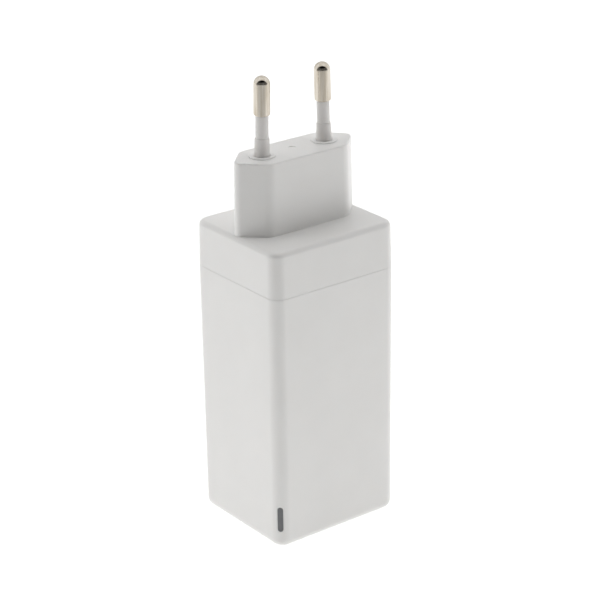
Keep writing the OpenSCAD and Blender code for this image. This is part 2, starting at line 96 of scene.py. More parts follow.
def rounded(width, depth, radius, steps=12):
    """Outline of a rounded rectangle, anticlockwise seen from above."""
    points = []
    for turn, (x, y) in enumerate(((1, 1), (-1, 1), (-1, -1), (1, -1))):
        centre = (x * (width / 2 - radius), y * (depth / 2 - radius))
        points += arc(centre, radius, 90 * turn, 90 * turn + 90, steps)
    return points


def stadium(length, width, steps=24):
    """Outline of a slot with round ends, along X."""
    reach = (length - width) / 2
    return arc((reach, 0), width / 2, -90, 90, steps) + arc((-reach, 0), width / 2, 90, 270, steps)


def loft(name, loops, closed=False):
    """A solid through outlines of equal point count. A loop is its points, height and edge radius."""
    mesh = bmesh.new()
    weight = mesh.edges.layers.float.new("bevel_weight_edge")
    widest = max(radius for _, _, radius in loops) or 1
    rings = [[mesh.verts.new((x, y, z)) for x, y in points] for points, z, _ in loops]
    pairs = list(zip(rings, rings[1:]))
    if closed:
        pairs.append((rings[-1], rings[0]))
    for low, high in pairs:
        for i, vert in enumerate(low):
            j = (i + 1) % len(low)
            mesh.faces.new((vert, low[j], high[j], high[i]))
    if not closed:
        mesh.faces.new(reversed(rings[0]))
        mesh.faces.new(rings[-1])
    for ring, (_, _, radius) in zip(rings, loops):
        for i, vert in enumerate(ring):
            mesh.edges.get((vert, ring[(i + 1) % len(ring)]))[weight] = radius / widest
    data = bpy.data.meshes.new(name)
    mesh.to_mesh(data)
    mesh.free()
    piece = bpy.data.objects.new(name, data)
    bpy.context.scene.collection.objects.link(piece)
    if widest < 1:
        edges = piece.modifiers.new("round the edges", "BEVEL")
        edges.limit_method = "WEIGHT"
        edges.width = widest
        edges.segments = 6
        edges.use_clamp_overlap = False
    return piece


def settle(piece):
    """Applies a piece's modifier stack."""
    bpy.context.view_layer.update()
    shown = piece.evaluated_get(bpy.context.evaluated_depsgraph_get())
    mesh = bpy.data.meshes.new_from_object(shown)
    piece.modifiers.clear()
    piece.data = mesh
    return piece


def carve(piece, operation, *tools):
    """Joins, cuts or trims a piece with helper solids, which are then removed."""
    for tool in tools:
        step = piece.modifiers.new("carve", "BOOLEAN")
        step.operation = operation
        step.solver = "EXACT"
        step.object = tool
    settle(piece)
    for tool in tools:
        bpy.data.objects.remove(tool)
    return piece


def place(piece, matrix):
    """Settles a piece that was made at its own origin, and moves its mesh into place."""
    settle(piece)
    piece.data.transform(matrix)
    return piece


def smooth(piece, angle=30):
    """Shades curves smooth and keeps flat faces flat up to their edges."""
    piece.data.shade_smooth()
    piece.data.set_sharp_from_angle(angle=math.radians(angle))
    flat = piece.modifiers.new("keep flat faces flat", "WEIGHTED_NORMAL")
    flat.keep_sharp = True
    flat.weight = 60
    return piece


def post(name, x, y, radius, low, high, steps=96):
    """Upright round helper solid."""
    ring = arc((x, y), radius, 0, 360, steps)[:-1]
    return loft(name, [(ring, low, 0), (ring, high, 0)])


def block_between(name, low, high):
    """Plain helper block between two corners."""
    outline = [(low[0], low[1]), (high[0], low[1]), (high[0], high[1]), (low[0], high[1])]
    return loft(name, [(outline, low[2], 0), (outline, high[2], 0)])


def look_out(piece):
    """Turns a piece made along Z until it points out of the window's corner."""
    upright = Matrix.Rotation(math.radians(90), 4, "Z")
    outwards = Matrix.Rotation(math.radians(-45), 4, "Z") @ Matrix.Rotation(math.radians(90), 4, "X")
    piece.data.transform(Matrix.Translation(WINDOW_CORNER) @ outwards @ upright)
    return piece


def window_cutter(grow, height):
    """Slot-shaped stem that looks out of the window's corner."""
    outline = stadium(WINDOW_LONG + 2 * grow, WINDOW_WIDE + 2 * grow)
    return look_out(loft("window_stem", [(outline, 0, 0), (outline, height, 0)]))


def port_cutter():
    """Slot through the floor, with a lead-in at its mouth."""
    wide, high = PORT_W + 2 * PORT_GAP, PORT_H + 2 * PORT_GAP
    flare = 2 * (PORT_LEAD_IN + MM)
    return loft("port_slot", [
        (stadium(wide + flare, high + flare), -MM, 0),
        (stadium(wide, high), PORT_LEAD_IN, 0),
        (stadium(wide, high), WALL + MM, 0),
    ])


inner_w, inner_d = CASE_W - 2 * WALL, CASE_D - 2 * WALL
case_shell = loft("case_shell", [
    (rounded(BASE_W, BASE_D, CORNER_R), 0, BASE_ROUND),
    (rounded(CASE_W, CASE_D, CORNER_R), RIM_Z, SEAM_ROUND),
    (rounded(CASE_W - 2 * LIP, CASE_D - 2 * LIP, CORNER_R - LIP), RIM_Z, SEAM_ROUND),
    (rounded(CASE_W - 2 * LIP, CASE_D - 2 * LIP, CORNER_R - LIP), RIM_Z - LIP_DEPTH, 0),
    (rounded(inner_w, inner_d, CORNER_R - WALL), RIM_Z - LIP_DEPTH, 0),
    (rounded(inner_w - 0.2 * MM, inner_d - 0.4 * MM, CORNER_R - WALL), WALL, 0),
])
settle(case_shell)
board_low, board_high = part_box("main_board")
inside = BASE_W / 2 - WALL
rails = []
for side in (-1, 1):
    for y in (board_low.y - RAIL_GAP - RAIL_T, board_high.y + RAIL_GAP):
        edges = sorted((side * (inside - RAIL_REACH), side * (inside + 0.6 * MM)))
        rails.append(block_between("rail", (edges[0], y, WALL - 0.1 * MM), (edges[1], y + RAIL_T, RAIL_TOP)))
output_low, output_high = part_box("output_board")
pegs = []
for x, y in PEGS:
    pegs.append(post("board_post", x * MM, y * MM, 1.6 * MM, WALL - 0.1 * MM, output_low.z - 0.1 * MM, 32))
    pegs.append(post("board_peg", x * MM, y * MM, 0.6 * MM, WALL, output_high.z + 0.5 * MM, 24))
carve(case_shell, "UNION", *rails, *pegs)
carve(case_shell, "DIFFERENCE", port_cutter(), window_cutter(WINDOW_GAP, CORNER_R + MM))
smooth(case_shell)


def linear(colour):
    """An sRGB hex colour as linear RGBA."""
    parts = [int(colour[i:i + 2], 16) / 255 for i in (0, 2, 4)]
    return [p / 12.92 if p <= 0.04045 else ((p + 0.055) / 1.055) ** 2.4 for p in parts] + [1]


def add(tree, kind, feeds=None, **settings):
    """Adds a node. feeds gives each input its value, or the output that feeds it."""
    node = tree.nodes.new(kind)
    for name, value in settings.items():
        setattr(node, name, value)
    for name, source in (feeds or {}).items():
        if isinstance(source, bpy.types.NodeSocket):
            tree.links.new(source, node.inputs[name])
        else:
            node.inputs[name].default_value = source
    return node


def start(name, **shine):
    """A new material, its node tree, its surface shader and the object's own coordinates."""
    material = bpy.data.materials.new(name)
    material.use_nodes = True
    tree = material.node_tree
    surface = tree.nodes["Principled BSDF"]
    for socket, value in shine.items():
        surface.inputs[socket.replace("_", " ")].default_value = value
    where = add(tree, "ShaderNodeTexCoord").outputs["Object"]
    return material, tree, surface, where


def grain(tree, where, size, detail=2.0):
    """Noise whose grains are about size across."""
    feeds = {"Vector": where, "Scale": 1 / size, "Detail": detail}
    return add(tree, "ShaderNodeTexNoise", feeds).outputs["Fac"]


def spread(tree, value, low, high):
    """Maps the middle of a noise to the range from low to high."""
    feeds = {"Value": value, "From Min": 0.3, "From Max": 0.7, "To Min": low, "To Max": high}
    return add(tree, "ShaderNodeMapRange", feeds).outputs["Result"]


def tint(tree, value, low, high):
    """Mixes two hex colours by a value."""
    mix = add(tree, "ShaderNodeMix", data_type="RGBA")
    tree.links.new(value, mix.inputs["Factor"])
    mix.inputs[6].default_value = linear(low)
    mix.inputs[7].default_value = linear(high)
    return mix.outputs[2]


def relief(tree, surface, value, height):
    """Raises the surface by up to height where the value is high."""
    bump = add(tree, "ShaderNodeBump", {"Height": value, "Distance": height})
    tree.links.new(bump.outputs["Normal"], surface.inputs["Normal"])
    return bump


def moulded_polycarbonate():
    """Glossy-satin polycarbonate from a finely spark-eroded mould: soft highlights, a faint orange peel."""
    material, tree, surface, where = start("moulded polycarbonate", IOR=1.585)
    surface.inputs["Subsurface Weight"].default_value = 0.3
    surface.inputs["Subsurface Radius"].default_value = (0.6 * MM, 0.57 * MM, 0.54 * MM)
    surface.inputs["Subsurface Scale"].default_value = 1.0
    flow = grain(tree, where, 9 * MM)
    tree.links.new(tint(tree, spread(tree, flow, 0, 1), "F2F1EF", "F4F3F1"), surface.inputs["Base Color"])
    fine = grain(tree, where, 0.25 * MM)    # real grains are 0.03 mm, drawn coarser so that they show
    tree.links.new(spread(tree, fine, 0.34, 0.44), surface.inputs["Roughness"])
    relief(tree, surface, fine, 0.002 * MM)
    return material


white_polycarbonate = moulded_polycarbonate()


def finish(piece, material, slot, *nodes):
    """Gives a new piece its material, hangs it under the root body and hides the CAD nodes it stands for."""
    piece.data.materials.clear()
    piece.data.materials.append(material)
    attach(piece, "root")
    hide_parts(*nodes)
    return piece


finish(case_shell, white_polycarbonate, "shell_polycarbonate", "body_shell")

# ------------------------------------------------------------------------------------------
# Status window and its lamp
# A light pipe of smoked polycarbonate, pushed into the corner from inside until its flange meets
# the wall. Its face follows the corner's curve. A side-lit lamp on the output board shines in.
# ------------------------------------------------------------------------------------------
FLANGE_WIDE = 3.0 * MM
FLANGE_THICK = 1.0 * MM
FLANGE_BACK = -0.9 * MM
WINDOW_SET_BACK = 0.02 * MM


def window_flange():
    """Retaining plate behind the wall."""
    outline = stadium(WINDOW_LONG + 1.2 * MM, FLANGE_WIDE)
    front = FLANGE_BACK + FLANGE_THICK
    return look_out(loft("window_flange", [(outline, FLANGE_BACK, 0), (outline, front, 0)]))


corner_round = arc((WINDOW_CORNER.x, WINDOW_CORNER.y), CORNER_R - WINDOW_SET_BACK, 0, 360, 192)[:-1]
status_window = window_cutter(0, CORNER_R + MM)
status_window.name = "status_window"
carve(status_window, "INTERSECT", loft("corner_round", [
    (corner_round, 0, 0),
    (corner_round, 2 * WINDOW_Z, 0),
]))
carve(status_window, "UNION", window_flange())
soft_edge = status_window.modifiers.new("soften the edge", "BEVEL")
soft_edge.limit_method = "ANGLE"
soft_edge.angle_limit = math.radians(50)
soft_edge.width = 0.06 * MM
soft_edge.segments = 3
smooth(status_window)


def smoked_polycarbonate():
    """Polished, smoked polycarbonate: dark and glossy, with a little light passing through."""
    material, tree, surface, where = start("smoked polycarbonate", IOR=1.585)
    cloud = spread(tree, grain(tree, where, 1.5 * MM), 0, 1)
    tree.links.new(tint(tree, cloud, "626365", "6C6D70"), surface.inputs["Base Color"])
    tree.links.new(spread(tree, grain(tree, where, 0.2 * MM), 0.16, 0.24), surface.inputs["Roughness"])
    relief(tree, surface, grain(tree, where, 0.6 * MM), 0.003 * MM)
    return material


finish(status_window, smoked_polycarbonate(), "smoked_polycarbonate", "light_pipe")


def plain_package(name, low, high, roughness, grit=0.15 * MM, lift=0.006 * MM):
    """Moulded electronic package or housing: matt, with filler grains that show as fine speckle."""
    material, tree, surface, where = start(name)
    speckle = grain(tree, where, grit, 4.0)
    tree.links.new(tint(tree, spread(tree, speckle, 0, 1), low, high), surface.inputs["Base Color"])
    tree.links.new(spread(tree, speckle, roughness - 0.06, roughness + 0.06), surface.inputs["Roughness"])
    relief(tree, surface, speckle, lift)
    return material


def coat_nodes(material, *nodes):
    """Gives CAD nodes their material."""
    for name in nodes:
        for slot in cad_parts[name].material_slots:
            slot.material = material


coat_nodes(plain_package("ivory lamp body", "E9E5D2", "EFECDD", 0.45), "status_led")

# ------------------------------------------------------------------------------------------
# Port
# A USB-C receptacle that stands on the output board and looks down through the floor. Its shell is
# drawn stainless steel, its tongue is glass-filled nylon, and its contacts are gold on copper.
# ------------------------------------------------------------------------------------------
port_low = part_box("usb_c_shell")[0]
tongue_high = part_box("usb_c_insulator")[1]
contact_low, contact_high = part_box("usb_c_contacts")
SHEET = 0.3 * MM
MOUTH_ROUND = 0.12 * MM
TONGUE_W = 6.69 * MM
TONGUE_T = 0.7 * MM
TONGUE_TIP_Z = port_low.z + 0.86 * MM
PORT_BACK_Z = port_low.z + 6.2 * MM
BOARD_LOW_Z = output_low.z
CONTACT_PITCH = 0.5 * MM
CONTACT_W = 0.25 * MM
CONTACT_T = 0.12 * MM
CONTACT_ROWS = 12
ROOT_W = 7.0 * MM                    # the tongue's root
ROOT_T = 1.3 * MM
ROOT_L = 0.9 * MM
TIP_TAPER = 0.3 * MM
TIP_L = 0.35 * MM
BACK_GAP = 0.6 * MM

port_outer = stadium(PORT_W + 2 * SHEET, PORT_H + 2 * SHEET)
port_inner = stadium(PORT_W, PORT_H)
port_shell = loft("port_shell", [
    (port_outer, port_low.z, MOUTH_ROUND),
    (port_outer, BOARD_LOW_Z - 0.05 * MM, 0),
    (port_inner, BOARD_LOW_Z - 0.05 * MM, 0),
    (port_inner, port_low.z, MOUTH_ROUND),
], closed=True)
smooth(port_shell)


def drawn_steel():
    """Stainless sheet, deep drawn and tumbled: bright, with fine lines along the draw."""
    material, tree, surface, where = start("drawn stainless steel", Metallic=1.0)
    stretched = add(tree, "ShaderNodeMapping", {"Vector": where, "Scale": (1, 1, 0.06)}).outputs["Vector"]
    lines = grain(tree, stretched, 0.12 * MM, 3.0)
    tree.links.new(tint(tree, spread(tree, lines, 0, 1), "B4B5B8", "C9CACC"), surface.inputs["Base Color"])
    tree.links.new(spread(tree, lines, 0.22, 0.36), surface.inputs["Roughness"])
    relief(tree, surface, lines, 0.002 * MM)
    return material


finish(port_shell, drawn_steel(), "port_steel", "usb_c_shell")


def box_outline(width, depth):
    """Outline of a rectangle with a hair of corner rounding."""
    return rounded(width, depth, 0.08 * MM, 2)


port_tongue = loft("port_tongue", [
    (box_outline(TONGUE_W - TIP_TAPER, TONGUE_T - TIP_TAPER), TONGUE_TIP_Z, 0.05 * MM),
    (box_outline(TONGUE_W, TONGUE_T), TONGUE_TIP_Z + TIP_L, 0.05 * MM),
    (box_outline(TONGUE_W, TONGUE_T), PORT_BACK_Z - ROOT_L, 0),
    (box_outline(ROOT_W, ROOT_T), PORT_BACK_Z - ROOT_L, 0.05 * MM),
    (box_outline(ROOT_W, ROOT_T), PORT_BACK_Z, 0),
    (box_outline(PORT_W - BACK_GAP, PORT_H - BACK_GAP), PORT_BACK_Z, 0),
    (box_outline(PORT_W - BACK_GAP, PORT_H - BACK_GAP), tongue_high.z, 0),
])
smooth(port_tongue)
finish(port_tongue, plain_package("glass-filled nylon", "17181A", "222326", 0.5), "port_insulator",
       "usb_c_insulator")

port_contacts = loft("port_contacts", [
    (box_outline(CONTACT_W, CONTACT_T), contact_low.z, 0.03 * MM),
    (box_outline(CONTACT_W, CONTACT_T), contact_high.z, 0.03 * MM),
])
port_contacts.data.transform(
    Matrix.Translation((-CONTACT_PITCH * (CONTACT_ROWS - 1) / 2, contact_high.y - CONTACT_T / 2, 0)))
row = port_contacts.modifiers.new("row of contacts", "ARRAY")
row.count = CONTACT_ROWS
row.use_relative_offset = False
row.use_constant_offset = True
row.constant_offset_displace = (CONTACT_PITCH, 0, 0)
other_side = port_contacts.modifiers.new("other side of the tongue", "MIRROR")
other_side.use_axis = (False, True, False)
other_side.use_mirror_merge = False
smooth(port_contacts)


def gold_plate():
    """Thin gold over nickel on stamped copper: polished, with faint wipe marks."""
    material, tree, surface, where = start("gold plate", Metallic=1.0)
    wipe = grain(tree, where, 0.15 * MM)
    tree.links.new(tint(tree, spread(tree, wipe, 0, 1), "D9AE5C", "E8C377"), surface.inputs["Base Color"])
    tree.links.new(spread(tree, wipe, 0.18, 0.3), surface.inputs["Roughness"])
    return material


finish(port_contacts, gold_plate(), "gold_contact", "usb_c_contacts")

# ------------------------------------------------------------------------------------------
# Boards and their parts
# Glass-epoxy boards in green solder mask, with moulded packages, ferrite, wound copper and
# capacitors on them. They are closed in by the shell, so their CAD solids stay.
# ------------------------------------------------------------------------------------------


def solder_mask():
    """Green solder mask over woven glass: glossy, with the weave showing through."""
    material, tree, surface, where = start("green solder mask")
    crosswise = add(tree, "ShaderNodeMapping", {"Vector": where, "Rotation": (0, 0, math.radians(90))})
    warp = add(tree, "ShaderNodeTexWave", {"Vector": where, "Scale": 1 / (6 * MM)}).outputs["Fac"]
    weft = add(tree, "ShaderNodeTexWave", {"Vector": crosswise.outputs["Vector"], "Scale": 1 / (6 * MM)})
    weave = add(tree, "ShaderNodeMath", {0: warp, 1: weft.outputs["Fac"]}, operation="MULTIPLY").outputs[0]
    patch = grain(tree, where, 4 * MM)
    tree.links.new(tint(tree, spread(tree, patch, 0, 1), "0D4A2C", "12603A"), surface.inputs["Base Color"])
    tree.links.new(spread(tree, patch, 0.25, 0.35), surface.inputs["Roughness"])
    relief(tree, surface, weave, 0.01 * MM)
    return material


def ferrite():
    """Pressed and sintered ferrite: dark grey, dull, with a stony grain."""
    material, tree, surface, where = start("sintered ferrite")
    stone = grain(tree, where, 0.4 * MM, 6.0)
    pits = add(tree, "ShaderNodeTexVoronoi", {"Vector": where, "Scale": 1 / (0.5 * MM)}).outputs["Distance"]
    tree.links.new(tint(tree, spread(tree, stone, 0, 1), "2B2B2D", "3B3B3E"), surface.inputs["Base Color"])
    tree.links.new(spread(tree, stone, 0.5, 0.7), surface.inputs["Roughness"])
    relief(tree, surface, pits, 0.02 * MM)
    return material


def wound_wire(name, low, high, pitch, metallic):
    """A winding: turns of wire side by side, glossy with varnish or insulation."""
    material, tree, surface, where = start(name, Metallic=metallic)
    turns = add(tree, "ShaderNodeTexWave", {"Vector": where, "Scale": 0.314 / pitch, "Distortion": 0.3},
                bands_direction="Z").outputs["Fac"]
    patch = grain(tree, where, 2 * MM)
    tree.links.new(tint(tree, spread(tree, patch, 0, 1), low, high), surface.inputs["Base Color"])
    tree.links.new(spread(tree, patch, 0.2, 0.32), surface.inputs["Roughness"])
    relief(tree, surface, turns, 0.06 * MM)
    return material


def glossy_skin(name, low, high, roughness, wrinkle):
    """Shrink sleeve, dipped epoxy, tape or film: glossy, with slow waves in its surface."""
    material, tree, surface, where = start(name)
    wave = grain(tree, where, wrinkle)
    tree.links.new(tint(tree, spread(tree, wave, 0, 1), low, high), surface.inputs["Base Color"])
    tree.links.new(spread(tree, wave, roughness - 0.05, roughness + 0.05), surface.inputs["Roughness"])
    relief(tree, surface, wave, 0.03 * MM)
    return material


def rolled_metal(name, low, high, roughness):
    """Rolled sheet or a drawn can: fine parallel lines from the rollers."""
    material, tree, surface, where = start(name, Metallic=1.0)
    stretched = add(tree, "ShaderNodeMapping", {"Vector": where, "Scale": (0.05, 1, 1)}).outputs["Vector"]
    lines = grain(tree, stretched, 0.2 * MM, 3.0)
    tree.links.new(tint(tree, spread(tree, lines, 0, 1), low, high), surface.inputs["Base Color"])
    tree.links.new(spread(tree, lines, roughness - 0.08, roughness + 0.08), surface.inputs["Roughness"])
    relief(tree, surface, lines, 0.003 * MM)
    return material


coat_nodes(solder_mask(), "main_board", "input_board", "output_board")
coat_nodes(ferrite(), "core_upper", "core_lower", "choke_core")
coat_nodes(wound_wire("enamelled copper", "B06A3C", "C98350", 0.3 * MM, 1.0),
           "primary_winding", "choke_windings")
coat_nodes(wound_wire("triple-insulated wire", "D9B62C", "E6C645", 0.6 * MM, 0.0), "secondary_winding")
coat_nodes(plain_package("moulded phenolic", "141416", "1E1E20", 0.55),
           "bobbin", "choke_base", "input_link", "output_link")
coat_nodes(plain_package("epoxy package", "18181A", "252528", 0.6, 0.1 * MM),
           "bridge_rectifier", "primary_switch", "sync_rectifier", "pd_controller", "bus_switch")
coat_nodes(plain_package("white opto package", "DEDDD8", "E8E7E2", 0.5), "optocoupler")
coat_nodes(plain_package("brown fuse case", "4E2F1B", "5C3A23", 0.5), "fuse")
coat_nodes(glossy_skin("blue dipped epoxy", "1D4488", "2956A3", 0.25, 1.2 * MM), "varistor", "y_capacitor")
coat_nodes(glossy_skin("yellow film case", "CF9F1E", "DDB03A", 0.35, 3 * MM), "x_capacitor")
coat_nodes(glossy_skin("dark shrink sleeve", "15171E", "1F222B", 0.22, 2 * MM), "bulk_capacitors")
coat_nodes(glossy_skin("yellow polyester tape", "D8B73A", "E3C653", 0.3, 0.8 * MM), "core_tape")
coat_nodes(glossy_skin("polyester film", "D9D7C8", "E4E2D5", 0.3, 6 * MM), "insulation_film")
coat_nodes(plain_package("pink gap pad", "BF8C92", "CB9BA0", 0.8, 0.3 * MM, 0.02 * MM),
           "primary_pad", "secondary_pad")
coat_nodes(rolled_metal("rolled aluminium", "BFC1C4", "CCCED1", 0.35),
           "primary_spreader", "secondary_spreader")
coat_nodes(rolled_metal("drawn aluminium can", "C6C7C9", "D6D7D9", 0.25), "output_capacitors")
coat_nodes(rolled_metal("phosphor bronze", "B98850", "C99A63", 0.3), "contact_left", "contact_right")

# ------------------------------------------------------------------------------------------
# Cap
# The cap and the plug block are one moulding in the same white polycarbonate. Its tongue fits
# inside the shell's rim and is welded there, which leaves the fine seam all round.
# ------------------------------------------------------------------------------------------
CAP_TOP_Z = 77.1 * MM
CAP_TOP_W = CASE_W - 0.3 * MM
CAP_TOP_D = CASE_D - 0.5 * MM
CAP_ROUND = 1.3 * MM
CAP_LOW_Z = RIM_Z + SEAM
ROOF = 2.0 * MM
TONGUE_GAP = 0.08 * MM
FACE_Z = cap_high.z
FACE_T = 3.0 * MM
PLUG_L = 33.8 * MM
PLUG_W = 12.5 * MM
PLUG_FOOT_L = PLUG_L + 0.8 * MM
PLUG_FOOT_W = PLUG_W + 0.1 * MM
PLUG_TIP_R = 1.9 * MM
PLUG_BEND_R = 4.0 * MM
FACE_ROUND = 0.4 * MM
SEAT_HOLE_R = 3.23 * MM
SEAT_DEPTH = 1.5 * MM
SHANK_HOLE_R = 2.15 * MM
BOSS_R = 3.9 * MM
BOSS_L = 8.3 * MM
PITCH_BASE = 18.4 * MM
PITCH_TIP = 17.6 * MM
PIN_L = 19.5 * MM
GATE_R = 1.0 * MM
GATE_DEPTH = 0.12 * MM
STAYS = [(12.4, 10.6), (-12.4, 10.6), (12.4, -10.6), (-7.6, -11)]     # mm, above the input board


def plug_outline(length, width):
    """Long hexagon of the plug: 45 degree slopes between round tips and softly bent flats."""
    k = math.sqrt(2) - 1
    tip_x = length / 2 - PLUG_TIP_R
    bend_x = length / 2 + k * (PLUG_TIP_R - PLUG_BEND_R) - width / 2
    bend_y = width / 2 - PLUG_BEND_R
    right = arc((tip_x, 0), PLUG_TIP_R, -45, 45, 12)
    upper = arc((bend_x, bend_y), PLUG_BEND_R, 45, 90, 8) + arc((-bend_x, bend_y), PLUG_BEND_R, 90, 135, 8)
    return right + upper + [(-x, -y) for x, y in right] + [(-x, -y) for x, y in upper]


def plug_block():
    """The plug's outside, with its foot sunk in the cap's roof."""
    block = loft("block", [
        (plug_outline(PLUG_FOOT_L, PLUG_FOOT_W), CAP_TOP_Z - 0.5 * MM, 0),
        (plug_outline(PLUG_L, PLUG_W), FACE_Z, FACE_ROUND),
    ])
    return settle(block)


def plug_hollow():
    """Room inside the plug for the pins' shanks and clips."""
    half_l, half_w = PLUG_L / 2 - 3 * MM, PLUG_W / 2 - WALL
    side = [(half_l, 0), (half_l - half_w, half_w), (half_w - half_l, half_w)]
    outline = side + [(-x, -y) for x, y in side]
    return loft("hollow", [(outline, CAP_TOP_Z - ROOF - MM, 0), (outline, FACE_Z - FACE_T, 0)])


tongue_w = CASE_W - 2 * LIP - 2 * TONGUE_GAP
tongue_d = CASE_D - 2 * LIP - 2 * TONGUE_GAP
tongue_r = CORNER_R - LIP - TONGUE_GAP
plug_cap = loft("plug_cap_moulding", [
    (rounded(CAP_TOP_W - 2 * WALL, CAP_TOP_D - 2 * WALL, CORNER_R - WALL), CAP_TOP_Z - ROOF, 0),
    (rounded(inner_w, inner_d, CORNER_R - WALL), cap_low.z, 0),
    (rounded(tongue_w, tongue_d, tongue_r), cap_low.z, 0),
    (rounded(tongue_w, tongue_d, tongue_r), CAP_LOW_Z, 0),
    (rounded(CASE_W, CASE_D, CORNER_R), CAP_LOW_Z, SEAM_ROUND),
    (rounded(CAP_TOP_W, CAP_TOP_D, CORNER_R), CAP_TOP_Z, CAP_ROUND),
])
settle(plug_cap)
carve(plug_cap, "UNION", plug_block())
carve(plug_cap, "DIFFERENCE", plug_hollow())
input_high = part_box("input_board")[1]
carve(plug_cap, "UNION", *[
    post("stay", x * MM, y * MM, 1.5 * MM, input_high.z + RAIL_GAP, CAP_TOP_Z - MM, 32) for x, y in STAYS])
carve(plug_cap, "UNION", *[
    post("boss", side * PITCH_BASE / 2, 0, BOSS_R, FACE_Z - BOSS_L, FACE_Z - MM) for side in (-1, 1)])
carve(plug_cap, "DIFFERENCE",
      *[post("seat", s * PITCH_BASE / 2, 0, SEAT_HOLE_R, FACE_Z - SEAT_DEPTH, FACE_Z + MM) for s in (-1, 1)],
      *[post("bore", s * PITCH_BASE / 2, 0, SHANK_HOLE_R, FACE_Z - BOSS_L - MM, FACE_Z) for s in (-1, 1)],
      post("gate", 0, 0.4 * MM, GATE_R, FACE_Z - GATE_DEPTH, FACE_Z + MM))
smooth(plug_cap)
finish(plug_cap, white_polycarbonate, "shell_polycarbonate", "plug_cap")

# ------------------------------------------------------------------------------------------
# Pins, sleeves and seats
# Each pin is turned from brass and nickel plated. Its neck is covered by a moulded nylon sleeve,
# and a round seat fills the hole that it was put in through. The pins lean together slightly.
# ------------------------------------------------------------------------------------------
PIN_R = 2.0 * MM
SLEEVE_L = 10.0 * MM
FOOT_L = 4.4 * MM
CORE_R = 1.15 * MM
SHANK_R = 2.1 * MM
SHANK_L = 7.0 * MM
TAIL_L = 4.2 * MM
PIN_TILT = math.atan((PITCH_BASE - PITCH_TIP) / 2 / PIN_L)


def turned(name, profile, steps=96):
    """A round piece from its profile of (radius, height) points, from top to bottom."""
    data = bpy.data.meshes.new(name)
    points = [(max(r, 0), 0, z) for r, z in profile]
    data.from_pydata(points, [(i, i + 1) for i in range(len(points) - 1)], [])
    piece = bpy.data.objects.new(name, data)
    bpy.context.scene.collection.objects.link(piece)
    spin = piece.modifiers.new("turn", "SCREW")
    spin.axis = "Z"
    spin.steps = spin.render_steps = steps
    spin.use_merge_vertices = True
    spin.merge_threshold = 0.001 * MM
    return piece


def on_face(side, tilted=True):
    """Where a pin's own frame goes: side is -1 for left and 1 for right."""
    lean = Matrix.Rotation(-side * PIN_TILT if tilted else 0, 4, "Y")
    return Matrix.Translation((side * PITCH_BASE / 2, 0, FACE_Z)) @ lean


def pin_profile():
    """Domed tip, plated body, chamfer, neck, shank and tail."""
    dome = [(r, z) for z, r in arc((PIN_L - PIN_R, 0), PIN_R, 0, 90, 20)]
    return dome + [
        (PIN_R, SLEEVE_L + 0.3 * MM), (PIN_R - 0.05 * MM, SLEEVE_L + 0.2 * MM), (PIN_R - 0.3 * MM, SLEEVE_L),
        (CORE_R, SLEEVE_L), (CORE_R, -SEAT_DEPTH - 0.3 * MM), (SHANK_R, -SEAT_DEPTH - 0.3 * MM),
        (SHANK_R, -SEAT_DEPTH - SHANK_L), (CORE_R, -SEAT_DEPTH - SHANK_L),
        (CORE_R, -SEAT_DEPTH - SHANK_L - TAIL_L), (0, -SEAT_DEPTH - SHANK_L - TAIL_L),
    ]


def sleeve_profile():
    """Thin upper part, small step, and a foot that widens downwards; the bore closes the loop."""
    thin, foot_top, foot_low, bore = 1.55 * MM, 1.75 * MM, 1.92 * MM, CORE_R + 0.05 * MM
    top = SLEEVE_L - 0.05 * MM
    return [
        (bore, top), (thin - 0.06 * MM, top), (thin - 0.015 * MM, top - 0.03 * MM), (thin, top - 0.1 * MM),
        (thin, FOOT_L + 0.2 * MM), (thin + 0.04 * MM, FOOT_L + 0.08 * MM),
        (foot_top - 0.05 * MM, FOOT_L + 0.02 * MM), (foot_top, FOOT_L - 0.08 * MM),
        (foot_low, 0), (foot_low, -SEAT_DEPTH - 0.2 * MM), (bore, -SEAT_DEPTH - 0.2 * MM), (bore, top),
    ]


def seat_profile():
    """Flat ring, a little proud of the face, with a rounded rim."""
    outer, inner, low, high, rim = 3.2 * MM, 2.02 * MM, -SEAT_DEPTH + 0.05 * MM, 0.2 * MM, 0.15 * MM
    curve = arc((outer - rim, high - rim), rim, 90, 0, 5)
    return [(inner, high), *curve, (outer, low), (inner, low), (inner, high)]


def nickel_plate():
    """Bright nickel on drawn and turned brass: warm grey metal, with faint marks along the pin."""
    material, tree, surface, where = start("bright nickel plate", Metallic=1.0)
    smear = grain(tree, where, 1.5 * MM)
    along = add(tree, "ShaderNodeMapping", {"Vector": where, "Scale": (1, 1, 0.06)}).outputs["Vector"]
    marks = grain(tree, along, 0.5 * MM, 3.0)
    tree.links.new(tint(tree, spread(tree, marks, 0, 1), "BFB5A5", "D8D2C8"), surface.inputs["Base Color"])
    tree.links.new(spread(tree, smear, 0.12, 0.2), surface.inputs["Roughness"])
    relief(tree, surface, marks, 0.004 * MM)
    return material


def sleeve_nylon():
    """Natural nylon: greyer and softer than the case, faintly translucent."""
    material, tree, surface, where = start("natural nylon", IOR=1.53)
    surface.inputs["Subsurface Weight"].default_value = 0.2
    surface.inputs["Subsurface Radius"].default_value = (0.7 * MM, 0.65 * MM, 0.6 * MM)
    surface.inputs["Subsurface Scale"].default_value = 1.0
    flow = grain(tree, where, 2 * MM)
    tree.links.new(tint(tree, spread(tree, flow, 0, 1), "ECE9E6", "EFECE9"), surface.inputs["Base Color"])
    tree.links.new(spread(tree, grain(tree, where, 0.25 * MM), 0.36, 0.46), surface.inputs["Roughness"])
    return material


